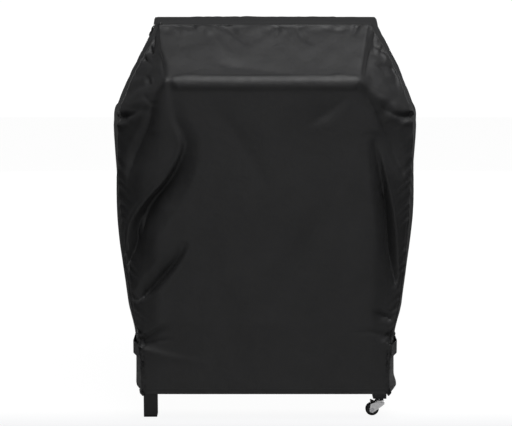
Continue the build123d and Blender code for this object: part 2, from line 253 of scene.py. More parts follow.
def path_depth(flat, path, before, after, creased=False):
    """Depth of a fold at flat points. The path's points are (across, up, depth), read downwards, all in mm.

    The fold reaches `before` mm to the lower side of across and `after` mm to the higher side, less where it
    is shallow. A creased fold has flat flanks that meet in a sharp line. Beyond its steep side the cloth
    stands proud a little.
    """
    best = np.full(flat.shape[:-1], 1e9)
    depth = np.zeros(flat.shape[:-1])
    points = eased_path(path)
    deepest = max(abs(points[:, 2]).max(), 1e-6)
    for start, end in zip(points[:-1], points[1:]):
        run = end[:2] - start[:2]
        offset = flat - start[:2]
        t = np.clip((offset @ run) / max(run @ run, 1e-12), 0, 1)
        gap = offset - t[..., None] * run
        distance = np.linalg.norm(gap, axis=-1)
        side = run[0] * offset[..., 1] - run[1] * offset[..., 0]
        here = start[2] + (end[2] - start[2]) * t
        share = 0.45 + 0.55 * np.clip(abs(here) / deepest, 0, 1)
        width = np.where(side > 0, after, before) / 1000 * share
        steep = np.where(side > 0, after < before, before < after)
        if creased:
            shape = np.clip(1 - distance / (1.5 * width), 0, 1) ** 1.3
        else:
            shape = np.exp(-((distance / width) ** 1.35))
        shape = shape - 0.08 * steep * np.exp(-((distance / width - 2.0) ** 2))
        nearer = distance < best
        best = np.where(nearer, distance, best)
        depth = np.where(nearer, here * shape, depth)
    return depth


def soft_noise(points, scale, seed):
    """Smooth noise at each point, from -1 to 1. scale is the size of its features, per axis, in metres."""
    scaled = points / np.array(scale) + seed * 17.31
    flat = scaled.reshape(-1, 3)
    values = [noise.noise(Vector(point)) for point in flat]
    return np.array(values).reshape(points.shape[:-1])


# ---------------- folds of the cover

# Folds on the front, seen from the front: (across, up, depth) in mm, then the reach to each side.
# The three deep folds run from the handle's ends down to the straps: sharp creases with one flat flank.
DEEP_FOLDS = [
    ([(-262, 950, 2), (-248, 860, 4), (-221, 779, 14), (-259, 690, 36), (-316, 622, 46), (-358, 560, 46),
      (-373, 490, 29), (-389, 432, 6)], 9, 48),
    ([(-212, 515, 0), (-241, 461, 16), (-280, 411, 27), (-321, 366, 25), (-358, 345, 6)], 32, 7),
    ([(296, 800, 0), (305, 755, 12), (325, 665, 27), (343, 575, 34), (353, 480, 29), (362, 400, 8)], 28, 9),
]
FRONT_FOLDS = [
    # from the handle's ends out to the sides
    ([(-306, 890, 4), (-322, 840, 14), (-340, 800, 17), (-363, 750, 16), (-379, 690, 3)], 12, 24),
    ([(262, 945, 0), (286, 905, 11), (320, 850, 19), (352, 778, 19), (380, 700, 5)], 30, 18),
    # faint long lines across the front
    ([(212, 704, 0), (119, 506, 6), (28, 345, 5), (-28, 290, 0)], 54, 22),
    ([(226, 917, 0), (170, 870, 5), (113, 831, 0)], 30, 14),
    ([(-150, 905, 0), (-60, 780, 3), (20, 640, 0)], 40, 30),
    # pinches at the straps
    ([(-262, 282, 0), (-300, 264, 9), (-343, 234, 11)], 8, 12),
    ([(-250, 243, 0), (-300, 236, 7), (-344, 218, 9)], 7, 10),
    ([(-150, 170, 0), (-240, 186, -4), (-348, 211, -9)], 11, 13),
    ([(298, 326, 3), (322, 310, 13), (348, 298, 10)], 11, 8),
    ([(230, 264, 0), (300, 262, 6), (350, 246, 9)], 11, 8),
    ([(306, 236, 0), (330, 226, -6), (352, 213, -8)], 7, 9),
    # over the corners of the side shelves
    ([(-424, 856, 11), (-392, 853, 13), (-348, 866, 0)], 8, 7),
    ([(-424, 834, -6), (-396, 830, -6), (-372, 838, 0)], 7, 7),
    ([(340, 866, 0), (384, 855, 12), (424, 856, 13)], 8, 7),
    ([(366, 836, 0), (396, 838, -6), (424, 842, -6)], 7, 7),
    # beside the sloping face
    ([(314, 1086, 0), (302, 1050, 8), (288, 1010, 9), (272, 968, 6)], 8, 12),
    ([(-308, 1070, 0), (-296, 1030, 6), (-284, 1000, 7), (-274, 968, 5)], 12, 8),
    # puckers that run down from the top seam
    ([(-108, 1091, 6), (-72, 1062, 6), (-34, 1038, 0)], 7, 9),
    ([(-244, 1089, 5), (-232, 1062, 0)], 6, 7),
    ([(-203, 1091, 5), (-190, 1068, 0)], 5, 6),
    ([(-132, 1092, 5), (-122, 1076, 0)], 4, 5),
    ([(30, 1091, 5), (38, 1078, 5), (24, 1060, 0)], 5, 6),
    ([(88, 1088, 5), (106, 1064, 6), (140, 1040, 0)], 7, 8),
    ([(258, 1092, 7), (252, 1080, 7), (244, 1064, 0)], 6, 7),
    ([(160, 1090, 0), (200, 1080, 4), (236, 1084, 0)], 6, 6),
    ([(-150, 1004, 0), (-60, 988, 4), (84, 970, 0)], 22, 16),
    # short wrinkles on the shoulders
    ([(-314, 1072, 0), (-313, 1052, 9), (-311, 1030, 0)], 6, 6),
    ([(-354, 996, 0), (-340, 1003, 9), (-322, 998, 0)], 7, 7),
    ([(-334, 1030, 0), (-320, 1024, 8), (-304, 1027, 0)], 6, 6),
    ([(-330, 962, 0), (-318, 950, 9), (-304, 948, 0)], 8, 8),
    ([(336, 1040, 0), (322, 1020, 5), (334, 1000, 0)], 6, 8),
    ([(350, 985, 0), (362, 955, 6), (366, 925, 0)], 7, 7),
]


def front_facing(normals):
    """1 on the front panel, falling to 0 where the cloth turns to the sides."""
    return step(-normals[..., 1], 0.15, 0.5)


def triangle_crease(grid, rows, columns):
    """Folds the patch at a handle's end along the line from the handle's end to the shelf's corner."""
    low, high = rows
    ends = [columns[0], columns[-1]]
    (corner_low, seam_low), (corner_high, seam_high) = grid[low, ends], grid[high, ends]
    across = run_along(grid[low, columns])
    across = across / across[-1]
    for row in range(low + 1, high):
        up = (grid[row, columns[0], 2] - corner_low[2]) / (corner_high[2] - corner_low[2])
        for index in range(1, len(columns) - 1):
            u = across[index]
            if u + up <= 1:
                spot = corner_low + u * (seam_low - corner_low) + up * (corner_high - corner_low)
            else:
                spot = seam_high + (1 - u) * (corner_high - seam_high) + (1 - up) * (seam_low - seam_high)
            grid[row, columns[index]] = spot


def seam_gaps(grid):
    """How far each point is from the nearest vertical seam, along its row."""
    lengths = np.linalg.norm(np.roll(grid, -1, axis=1) - grid, axis=2)
    run = np.concatenate([np.zeros((len(grid), 1)), np.cumsum(lengths, axis=1)], axis=1)
    gaps = np.full(grid.shape[:2], 1e9)
    for seam in SEAM_COLUMNS + [ALL_COLUMNS]:
        gaps = np.minimum(gaps, np.abs(run[:, :-1] - run[:, [seam]]))
    return gaps


def room_inside(grid, normals):
    """How far each point can move inwards before it meets the cart or the grill. Below 0 it must move out."""
    cloths = WALLS + ("top_panel",)
    solid = [name for name in NODES if name not in cloths and "strap" not in name and "patch" not in name]
    tree, _ = node_tree(solid)
    nothing_near = 0.2
    room = np.full(grid.shape[:2], nothing_near)
    for row in range(grid.shape[0]):
        for column in range(grid.shape[1]):
            out = Vector(normals[row, column])
            start = Vector(grid[row, column]) + out * PROBE
            hit, _, _, distance = tree.ray_cast(start, -out, PROBE + REACH)
            if hit is not None:
                room[row, column] = distance - PROBE - CLEARANCE
    return room


def lean(grid):
    """Makes the cover a little uneven: one shoulder and the lid's left end reach out, and the hem flares."""
    across, height = grid[..., 0], grid[..., 2]
    by_lid = step(height, 0.86, 0.95)
    lid_left = step(-across, 0.12, 0.26) * (1 - step(-across, 0.268, 0.315)) * by_lid
    lid_right = step(across, 0.12, 0.26) * (1 - step(across, 0.29, 0.36)) * by_lid
    shoulder_left = step(-across, 0.29, 0.35) * step(height, 0.88, 0.95) * (1 - step(height, 0.96, 1.06))
    shoulder_right = step(across, 0.285, 0.33) * step(height, 0.87, 0.97)
    hem_corner = step(-height, -HEM_Z - 0.045, -HEM_Z) * step(-grid[..., 1], 0.12, 0.2)
    hem_corner = hem_corner * step(across, 0.33, 0.36)
    top_back = step(height, 1.0, TOP_Z) * step(grid[..., 1], 0, 0.2)
    grid = grid.copy()
    grid[..., 0] += 0.010 * shoulder_right - 0.004 * shoulder_left - 0.012 * lid_left - 0.004 * lid_right
    grid[..., 0] += 0.009 * hem_corner
    grid[..., 2] += 0.003 * top_back
    return grid


def blur(values, passes):
    """Evens out a value over the ring-shaped grid."""
    for _ in range(passes):
        padded = np.concatenate([values[:1], values, values[-1:]])
        near = padded[2:] + padded[:-2] + np.roll(values, 1, axis=1) + np.roll(values, -1, axis=1)
        values = values * 0.5 + near * 0.125
    return values


def held_off(inward, room):
    """Eases a displacement so that it stays inside the room it has, with no hard edges."""
    reach, ease = 3, 0.0015
    envelope = room
    for _ in range(reach):
        padded = np.concatenate([envelope[:1], envelope, envelope[-1:]])
        beside = np.minimum(np.roll(envelope, 1, axis=1), np.roll(envelope, -1, axis=1))
        envelope = np.minimum(np.minimum(envelope, beside), np.minimum(padded[2:], padded[:-2]))
    envelope = blur(envelope, reach)
    return envelope - ease * np.log1p(np.exp((envelope - inward) / ease))


def drawn_folds(grid, facing):
    """The folds that are placed one by one on the front."""
    flat = grid[..., [0, 2]]
    inward = np.zeros(grid.shape[:2])
    for folds, creased in ((DEEP_FOLDS, True), (FRONT_FOLDS, False)):
        for path, before, after in folds:
            inward += path_depth(flat, path, before, after, creased) * facing
    return inward


def skirt_waves(grid):
    """Long soft waves in the hanging skirt, none where it is stretched over the handle."""
    height = grid[..., 2]
    loose = step(height, HEM_Z, 0.25) * (1 - step(height, 0.78, 0.93))
    long_waves = SKIRT_WAVE * loose * soft_noise(grid, (0.16, 0.16, 0.42), 1)
    ripples = SKIRT_RIPPLE * soft_noise(grid, (0.05, 0.05, 0.14), 2) * step(height, HEM_Z, 0.2)
    return long_waves + ripples


def side_seam_puckers(grid):
    """Puckers beside the side seams, deepest low down at the front, where the straps pull."""
    height = grid[..., 2]
    gaps = seam_gaps(grid)
    slanting = grid * [0, 0, 1] + [0.3, 0, 0] + gaps[..., None] * [0, 0, 0.8]
    pucker = soft_noise(slanting, (1, 1, 0.011), 3)
    at_front = step(-grid[..., 1], -0.05, 0.10)
    below_straps = (1 - step(height, 0.29, 0.34)) * at_front
    depth = SEAM_PUCKER + FRONT_PUCKER * at_front + LOW_PUCKER * below_straps
    return depth * pucker * np.exp(-gaps / 0.018) * step(height, HEM_Z + 0.01, HEM_Z + 0.04)


def slope_puckers(grid, slanting):
    """Puckers below the top seam, and broad shallow waves down the slope."""
    height = grid[..., 2]
    below_top = TOP_Z - height
    ripple = soft_noise(grid * [1, 1, 0] + [0, 0, 0.4], (0.030, 0.030, 1), 4)
    hanging = TOP_PUCKER * ripple * np.exp(-below_top / 0.020) * step(below_top, 0.0004, 0.006)
    broad = soft_noise(slanting, (0.045, 0.3, 0.3), 5) * step(height, HANDLE_Z + 0.02, TOP_Z - 0.04)
    return hanging + SLOPE_WAVE * broad


def shoulder_wrinkles(grid, slanting, side):
    """Wrinkles between the lid and the side shelves: crumples in front, soft drapes beside."""
    height = grid[..., 2]
    shoulder = step(height, SHELF_Z - 0.06, SHELF_Z + 0.05) * step(abs(grid[..., 0]), 0.27, 0.34)
    shoulder = shoulder * (1 - 0.85 * step(height, TOP_Z - 0.055, TOP_Z - 0.010))
    crumpled = shoulder * (1 - 0.82 * side)
    dents = DENT * soft_noise(grid, (0.05, 0.045, 0.028), 6) * crumpled
    lines = np.exp(-abs(soft_noise(slanting, (0.035, 0.09, 0.09), 8)) / 0.09)
    lines = WRINKLE * lines * crumpled * step(soft_noise(grid, (0.09, 0.09, 0.09), 9), -0.1, 0.25)
    downhill = grid[..., 1] + 0.5 * (height - SHELF_Z) * np.sign(grid[..., 1])
    downhill = np.stack([np.sign(grid[..., 0]), downhill, height], -1)
    drapes = DRAPE * soft_noise(downhill, (3, 0.075, 0.22), 10) * shoulder * side
    return dents + lines + drapes


def strap_gathers(grid):
    """Small upright pleats where the straps draw the skirt in."""
    near_strap = np.exp(-((grid[..., 2] - STRAP_Z) / 0.13) ** 2) * step(abs(grid[..., 0]), 0.33, 0.352)
    pleats = 0.5 - 0.5 * np.cos(grid[..., 1] / 0.0105 + 1.6 * np.sin(grid[..., 1] / 0.05))
    return PLEAT * near_strap * pleats * (1 - step(abs(grid[..., 1]), 0.2, 0.27))


def hanging_folds(grid, side, back):
    """Long folds on the sides and the back, which hang from the shelves and run in to the straps."""
    height = grid[..., 2]
    hang = step(height, 0.25, 0.4) * (1 - step(height, 0.70, 0.85))
    gathered = grid[..., 1] * (1 + 0.35 * (1 - step(height, 0.2, 0.8)))
    places = np.stack([np.sign(grid[..., 0]), gathered, height], -1)
    side_folds = np.clip(0.5 + 0.9 * soft_noise(places, (3, 0.060, 0.30), 11), 0, 1)
    back_folds = 0.5 + 0.5 * np.sin(grid[..., 0] / 0.045 + height / 0.16)
    return SIDE_FOLD * side * hang * side_folds + BACK_FOLD * back * hang * back_folds


def bulges(grid, heights, side, facing):
    """How far the slack skirt and the edge over the handle stand out."""
    height, off_centre = grid[..., 2], abs(grid[..., 0])
    belly = (1 - step(height, 0.45, 0.82)) * np.clip((height - HEM_Z) / (0.285 - HEM_Z), 0, 1)
    belly = BELLY * belly * (1 - step(off_centre, 0.290, 0.345)) * facing
    beside = side * step(height, 0.235, 0.33) * (1 - step(height, 0.78, 0.88))
    beside = beside * (SIDE_BULGE - SLIMMER * step(height, 0.56, 0.70))
    over_bar = HANDLE_EDGE * np.exp(-((heights - HANDLE_Z) / 0.018) ** 2)[:, None]
    return belly + beside + over_bar * (1 - step(off_centre, 0.272, 0.29)) * facing


def eased_outline(heights):
    """The rings of cover points with the handle's folded corners, eased and leaning like real cloth."""
    grid = np.array([outline(height) for height in heights])
    shelf_row = int(np.argmin(abs(heights - SHELF_Z)))
    handle_row = int(np.argmin(abs(heights - HANDLE_Z)))
    triangle_crease(grid, (shelf_row, handle_row), list(range(RIGHT_FOLD, SEAM_COLUMNS[1] + 1)))
    triangle_crease(grid, (shelf_row, handle_row), list(range(LEFT_FOLD, -1, -1)))
    full, slight = 0.45, 0.12
    up = np.ones(grid.shape[:2])
    up[[0, 1, -2, -1]] = 0
    around = np.ones(grid.shape[:2]) * full
    around[handle_row - 1:] = slight
    around[-2:] = 0
    grid = relax(grid, 20, around, up * full)
    skirt = (heights < SHELF_Z - 0.05).astype(float)[:, None] * np.ones(grid.shape[:2])
    grid = relax(grid, 80, skirt * full, skirt * up * full)
    return lean(grid)


def shape_walls():
    """The cover's four walls as one ring-shaped grid, with its folds."""
    heights = cover_heights()
    grid = eased_outline(heights)
    normals = ring_normals(grid)
    height = grid[..., 2]
    facing = front_facing(normals)
    side = step(abs(normals[..., 0]), 0.5, 0.9)
    back = step(normals[..., 1], 0.5, 0.9)
    slanting = grid + np.stack([height * 0.9, height * 0, height * 0], -1)
    inward = drawn_folds(grid, facing) + skirt_waves(grid) + side_seam_puckers(grid)
    inward += slope_puckers(grid, slanting) + shoulder_wrinkles(grid, slanting, side)
    inward += strap_gathers(grid) + hanging_folds(grid, side, back) - bulges(grid, heights, side, facing)
    inward += HEM_CURL * (1 - step(height, HEM_Z, HEM_Z + 0.013))
    under_strap = side * (1 - step(abs(height - STRAP_Z), 0.020, 0.032))
    inward = np.where(under_strap > 0, np.maximum(inward, STRAP_PRESS * under_strap), inward)
    inward = held_off(inward, room_inside(grid, normals))
    inward[-1] = 0
    return grid - normals * inward[..., None]


def four_runs(ring):
    """The front, right, back and left runs of a row, from left to right and from front to back."""
    left, right, back_right, back_left = SEAM_COLUMNS
    front = ring[left:right + 1]
    east = ring[right:back_right + 1]
    back = ring[back_right:back_left + 1][::-1]
    west = np.concatenate([ring[back_left:], ring[:1]])[::-1]
    return front, east, back, west


def shape_top(ring):
    """The top panel as a grid stretched between the top row's four runs, with small ripples by its seams."""
    front, east, back, west = four_runs(ring)
    front_run, east_run = run_along(front), run_along(east)
    across = (front_run / front_run[-1])[None, :, None]
    deep = (east_run / east_run[-1])[:, None, None]
    ruled = (1 - deep) * front[None] + deep * back[None]
    ruled = ruled + (1 - across) * west[:, None] + across * east[:, None]
    corners = ((1 - deep) * ((1 - across) * front[0] + across * front[-1])
               + deep * ((1 - across) * back[0] + across * back[-1]))
    grid = ruled - corners
    edge = np.minimum(np.minimum(across, 1 - across) * 0.6, np.minimum(deep, 1 - deep) * 0.34)[..., 0]
    grid[..., 2] += TOP_RIPPLE * step(edge, 0, 0.03)
    ripple = soft_noise(grid, (0.035, 0.06, 1), 7)
    grid[..., 2] += TOP_RIPPLE * abs(ripple) * step(edge, 0.001, 0.012)
    return grid


# ---------------- mesh building


def add_object(name, data):
    """A new object in the scene."""
    thing = bpy.data.objects.new(name, data)
    bpy.context.scene.collection.objects.link(thing)
    return thing


def new_object(name, points, faces, uvs=None):
    """A smooth mesh object in the scene, with cloth coordinates where they are given."""
    mesh = bpy.data.meshes.new(name)
    mesh.from_pydata([tuple(point) for point in points], [], [tuple(face) for face in faces])
    if uvs is not None:
        layer = mesh.uv_layers.new(name="cloth")
        loops = np.zeros(len(mesh.loops), int)
        mesh.loops.foreach_get("vertex_index", loops)
        layer.data.foreach_set("uv", np.array(uvs, np.float32)[loops].ravel())
    mesh.polygons.foreach_set("use_smooth", [True] * len(mesh.polygons))
    mesh.update()
    return add_object(name, mesh)


def grid_object(name, grid, uv, thickness, offset):
    """A sheet object from a grid of points, thickened to one side."""
    rows, columns = grid.shape[:2]
    faces = []
    for row in range(rows - 1):
        for column in range(columns - 1):
            corner = row * columns + column
            faces.append((corner, corner + 1, corner + columns + 1, corner + columns))
    sheet = new_object(name, grid.reshape(-1, 3), faces, uv.reshape(-1, 2))
    thick = sheet.modifiers.new("thickness", "SOLIDIFY")
    thick.thickness = thickness
    thick.offset = offset
    return sheet


def cloth_uv(grid):
    """Arc lengths across and up the grid, in metres."""
    across = np.linalg.norm(np.diff(grid, axis=1), axis=2)
    across = np.concatenate([np.zeros((len(grid), 1)), np.cumsum(across, axis=1)], axis=1)
    across -= across[:, [grid.shape[1] // 2]]
    upward = np.linalg.norm(np.diff(grid, axis=0), axis=2)
    upward = np.concatenate([np.zeros((1, grid.shape[1])), np.cumsum(upward, axis=0)], axis=0)
    return np.stack([across, upward], -1)


def tuck(grid, uv, inward, edge):
    """Turns one edge of a panel inwards as a seam allowance. inward is the direction into the seam."""
    sideways = edge in ("left", "right")
    backwards = edge in ("top", "right")
    if sideways:
        grid, uv = grid.swapaxes(0, 1), uv.swapaxes(0, 1)
    if backwards:
        grid, uv = grid[::-1], uv[::-1]
    border = grid[0] + inward * 0.0010
    first = border + inward * 0.0022
    second = border + inward * SEAM_TUCK
    grid = np.concatenate([second[None], first[None], border[None], grid[1:]])
    across = uv[2] - uv[0]
    across = across / np.maximum(np.linalg.norm(across, axis=1, keepdims=True), 1e-9)
    away = uv[0] - across * ALLOWANCE
    near = uv[0] + (away - uv[0]) * 0.3
    uv = np.concatenate([away[None], near[None], uv[:1], uv[1:]])
    if backwards:
        grid, uv = grid[::-1], uv[::-1]
    if sideways:
        grid, uv = grid.swapaxes(0, 1), uv.swapaxes(0, 1)
    return grid, uv


def turn_hem(grid, uv, normals):
    """Doubles the bottom edge of a panel inside itself."""
    outward = normals[0]
    lift = np.array([0, 0, 1.0])
    inside = 0.0022  # from the outer layer to the inner one
    bottom = grid[0] - outward * 0.0006 - lift * 0.0002
    inner_edge = grid[0] - outward * inside + lift * 0.0006
    inner_top = grid[HEM_STITCHED] - outward * inside + lift * 0.001
    middle = grid[HEM_MIDDLE] - outward * (inside + 0.0002)
    grid = np.concatenate([inner_top[None], middle[None], inner_edge[None], bottom[None], grid[1:]])
    rows = [uv[0] - [0, turned] for turned in (HEM_TURN, HEM_TURN / 2, 0.002, 0)]
    uv = np.concatenate([np.array(rows), uv[1:]])
    return grid, uv


def tuck_ends(grid, uv, left_inward, right_inward, below):
    """Tucks a panel's two upright edges. The directions are repeated for the rows that were added."""
    above = len(grid) - below - len(left_inward)
    ends = []
    for inward in (left_inward, right_inward):
        low, high = np.repeat(inward[:1], below, 0), np.repeat(inward[-1:], above, 0)
        ends.append(np.concatenate([low, inward, high]))
    grid, uv = tuck(grid, uv, ends[0], "left")
    return tuck(grid, uv, ends[1], "right")


def build_cover(ring):
    """The five cut panels by CAD node, from the ring-shaped grid of the walls."""
    normals = ring_normals(ring)
    into_top = -normals[-1] * 0.7 - np.array([0, 0, 0.7])
    into_top = into_top / np.linalg.norm(into_top, axis=1, keepdims=True)
    closed, closed_normals = (np.concatenate([values, values[:, :1]], axis=1) for values in (ring, normals))
    closed_top = np.concatenate([into_top, into_top[:1]])
    spans = SEAM_COLUMNS + [ALL_COLUMNS]
    pieces = {}
    for name, start, end in zip(WALLS, spans, spans[1:]):
        span = slice(start, end + 1)
        grid = closed[:, span]
        grid, uv = turn_hem(grid, cloth_uv(grid), closed_normals[:, span])
        below = len(grid) - len(ring)
        grid, uv = tuck(grid, uv, closed_top[span], "top")
        grid, uv = tuck_ends(grid, uv, -closed_normals[:, start], -closed_normals[:, end], below)
        pieces[name] = grid_object(name + "_cloth", grid, uv, CLOTH, -1)
    top = shape_top(ring[-1])
    front, east, back, west = four_runs(into_top)
    grid, uv = tuck(top, cloth_uv(top), front, "bottom")
    grid, uv = tuck(grid, uv, back, "top")
    grid, uv = tuck_ends(grid, uv, west, east, 2)
    pieces["top_panel"] = grid_object("top_panel_cloth", grid, uv, CLOTH, -1)
    return pieces


# ---------------- straps, patches and stitches


def face_at(tree, side, y, z):
    """How far out a strap's outer face is, in x, at this depth and height."""
    return tree.ray_cast(Vector((side, y, z)), Vector((-side, 0, 0)), 2)[0].x


def strap_line(node, side, steps):
    """The strap's outer face from its front end to its back end, at its middle height: points in plan."""
    tree, _ = node_tree([node])
    low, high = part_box(node)
    places = np.linspace(low.y + 0.0006, high.y - 0.0006, steps)
    return np.array([(face_at(tree, side, place, STRAP_Z), place) for place in places])


def strap(node, side, doubled_end):
    """Webbing along its CAD solid. doubled_end is "back" where that end is folded over and sewn, or None."""
    line = strap_line(node, side, 84)
    half = (STRAP_HIGH - STRAP_LOW) / 2
    places = np.array([-1, -0.965, -0.9, -0.6, -0.3, 0, 0.3, 0.6, 0.9, 0.965, 1]) * half
    run = run_along(line)
    grid = np.zeros((len(places), len(line), 3))
    grid[..., :2] = line[None]
    grid[..., 2] = STRAP_Z + places[:, None]
    selvedge = 0.00035 * (np.abs(places) > 0.94 * half)[:, None]
    lift = 0.0002 * np.sin(run / 0.021)[None, :] - selvedge
    if doubled_end == "back":
        lift = lift + 0.0010 * step(run, run[-1] - 0.027, run[-1] - 0.024)[None, :]
    grid[..., 0] += side * lift
    uv = np.stack(np.broadcast_arrays(run[None, :], places[:, None]), -1)
    webbing = grid_object(node + "_webbing", grid, uv, WEBBING, -side)
    smooth = webbing.modifiers.new("rounding", "SUBSURF")
    smooth.levels = smooth.render_levels = 1
    return webbing


def nubs_patch(node, side):
    """A sewn patch with rounded corners, covered in rows of small hooks or loops."""
    low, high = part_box(node)
    columns, rows = 49, 25
    inner = low.x if side > 0 else high.x
    across = np.linspace(-1, 1, columns)[None, :]
    upward = np.linspace(-1, 1, rows)[:, None]
    squeeze = 1 - 0.05 * across ** 8 * upward ** 8
    checks = (np.arange(rows)[:, None] + np.arange(columns)[None, :]) % 2
    inside_border = (np.abs(across) < 0.93) * (np.abs(upward) < 0.86)
    grid = np.zeros((rows, columns, 3))
    grid[..., 0] = inner + side * (high.x - low.x - NUB + NUB * checks * inside_border)
    grid[..., 1] = (low.y + high.y) / 2 + across * squeeze * (high.y - low.y) / 2
    grid[..., 2] = (low.z + high.z) / 2 + upward * squeeze * (high.z - low.z) / 2
    return grid_object(node + "_sewn", grid, grid[..., [1, 2]], PATCH, -side)


def stitches(name, lines, pitch=0.0042, length=0.0031, width=0.0007):
    """Small raised thread stitches along lines of (points, outward normals)."""
    points, faces = [], []
    for line, normals in lines:
        run = run_along(line)
        count = int(run[-1] / pitch)
        for place in (np.arange(count) + 0.5) * run[-1] / max(count, 1):
            start, end = (between(place + shift, run, line) for shift in (-length / 2, length / 2))
            out = between(place, run, normals)
            out /= np.linalg.norm(out)
            aside = np.cross(end - start, out)
            aside *= width / 2 / max(np.linalg.norm(aside), 1e-9)
            middle = (start + end) / 2
            first = len(points)
            points += [start - out * 0.0002, end - out * 0.0002, middle + aside, middle - aside,
                       middle + out * 0.00045, middle - out * 0.0004]
            for a, b in ((2, 4), (4, 3), (3, 5), (5, 2)):
                faces.append((first, first + a, first + b))
                faces.append((first + 1, first + b, first + a))
    return new_object(name, points, faces)


def line_beside_seam(grid, normals, seam, direction, gap):
    """Points at this gap from a seam column, with their normals, from above the hem to below the top seam."""
    line, outs = [], []
    columns = [(seam + direction * index) % ALL_COLUMNS for index in range(8)]
    for row in range(2, len(grid) - 3):
        run = run_along(grid[row, columns])
        if run[-1] > gap:
            line.append(between(gap, run, grid[row, columns]))
            outs.append(between(gap, run, normals[row, columns]))
    return np.array(line), np.array(outs)


def cover_stitches(ring):
    """The hem's stitch line, and one beside each side seam."""
    normals = ring_normals(ring)
    hem, hem_normals = ring[HEM_STITCHED], normals[HEM_STITCHED]
    lines = [(np.concatenate([hem, hem[:1]]), np.concatenate([hem_normals, hem_normals[:1]]))]
    for seam, direction in zip(SEAM_COLUMNS, (1, -1, 1, -1)):
        lines.append(line_beside_seam(ring, normals, seam, direction, 0.006))
    return stitches("cover_stitching", lines)


def box_stitch(node, side, centre_y, half_long, half_high):
    """A sewn box with a cross on a strap's face."""
    tree, _ = node_tree([node])
    corners = [(-1, -1), (1, -1), (1, 1), (-1, 1), (-1, -1), (1, 1), (1, -1), (-1, 1)]
    line = []
    for (a, b), (c, d) in zip(corners[:-1], corners[1:]):
        for t in np.linspace(0, 1, 12)[:-1]:
            y = centre_y + (a + (c - a) * t) * half_long
            z = STRAP_Z + (b + (d - b) * t) * half_high
            line.append((face_at(tree, side, y, z) + side * 0.0011, y, z))
    return np.array(line), np.tile([side, 0.0, 0.0], (len(line), 1))


# ---------------- materials


def add_node(tree, kind, **values):
    """A new shader node. Each value feeds or sets the input of that name, or sets the node's property."""
    node = tree.nodes.new(kind)
    for key, value in values.items():
        if isinstance(value, bpy.types.NodeSocket):
            tree.links.new(value, node.inputs[key])
        elif key in node.inputs:
            node.inputs[key].default_value = value
        else:
            setattr(node, key, value)
    return node


def blank_material(name):
    """A new material, its node tree and its shader."""
    material = bpy.data.materials.new(name)
    material.use_nodes = True
    tree = material.node_tree
    return material, tree, tree.nodes["Principled BSDF"]


def noise_value(tree, place, **values):
    """Noise from 0 to 1 at these coordinates."""
    return add_node(tree, "ShaderNodeTexNoise", Vector=place, **values).outputs["Fac"]


def bumped(tree, **values):
    """The surface's normal, tilted by a height."""
    return add_node(tree, "ShaderNodeBump", **values).outputs["Normal"]


def ramp_between(tree, source, low, high, dark, light):
    """Maps a 0 to 1 value between low and high onto two colours."""
    ramp = add_node(tree, "ShaderNodeValToRGB", Fac=source)
    for end, position, colour in zip(ramp.color_ramp.elements, (low, high), (dark, light)):
        end.position = position
        end.color = (*colour, 1)
    return ramp.outputs["Color"]


def colour_and_roughness(tree, shader, broad, fine, shades, rough, ends=0.3):
    """Colour varies between two shades with the broad noise, roughness between two values with the fine."""
    colour = ramp_between(tree, broad, ends, 1 - ends, *shades)
    tree.links.new(colour, shader.inputs["Base Color"])
    roughness = ramp_between(tree, fine, 0.3, 0.7, *((value,) * 3 for value in rough))
    tree.links.new(roughness, shader.inputs["Roughness"])


def surface(name, shades, rough, grain, bump, metallic=0.0, specular=0.5, coat=0.0):
    """A hard surface: colour and roughness vary with noise of size grain, and bump is its depth in metres."""
    material, tree, shader = blank_material(name)
    place = add_node(tree, "ShaderNodeTexCoord").outputs["Object"]
    broad = noise_value(tree, place, Scale=1 / (grain * 12), Detail=5.0, Roughness=0.6)
    fine = noise_value(tree, place, Scale=1 / grain, Detail=3.0, Roughness=0.55)
    colour_and_roughness(tree, shader, broad, fine, shades, rough)
    grainy = bumped(tree, Height=fine, Strength=0.6, Distance=bump)
    tree.links.new(grainy, shader.inputs["Normal"])
    shader.inputs["Metallic"].default_value = metallic
    shader.inputs["Specular IOR Level"].default_value = specular
    shader.inputs["Coat Weight"].default_value = coat
    return material


def woven(name, shades, rough, pitch, bump, crumple, sheen, threads="UV"):
    """Woven cloth: two crossed sets of threads of this pitch, fine crumpling and an unevenly worn finish."""
    material, tree, shader = blank_material(name)
    places = add_node(tree, "ShaderNodeTexCoord").outputs
    split = add_node(tree, "ShaderNodeSeparateXYZ", Vector=places[threads])
    cross = add_node(tree, "ShaderNodeMath", operation="MULTIPLY")
    for index, axis in enumerate(("X", "Y")):
        turn = add_node(tree, "ShaderNodeMath", operation="MULTIPLY", Value=split.outputs[axis])
        turn.inputs[1].default_value = math.pi / pitch
        wave = add_node(tree, "ShaderNodeMath", operation="SINE", Value=turn.outputs[0])
        tree.links.new(wave.outputs[0], cross.inputs[index])
    broad = noise_value(tree, places["Object"], Scale=9.0, Detail=6.0, Roughness=0.62)
    crease = noise_value(tree, places["Object"], Scale=38.0, Detail=5.0, Roughness=0.55, Distortion=0.6)
    colour_and_roughness(tree, shader, broad, crease, shades, rough, 0.32)
    creased = bumped(tree, Height=crease, Strength=0.7, Distance=crumple)
    weave = bumped(tree, Height=cross.outputs[0], Normal=creased, Strength=0.5, Distance=bump)
    tree.links.new(weave, shader.inputs["Normal"])
    shader.inputs["Specular IOR Level"].default_value = 0.36
    shader.inputs["Sheen Weight"].default_value = sheen
    shader.inputs["Sheen Roughness"].default_value = 0.45
    return material


def greys(dark, light, blue=1.04):
    """Two greys, with their blue raised a little."""
    return [(value, value, value * blue) for value in (dark, light)]


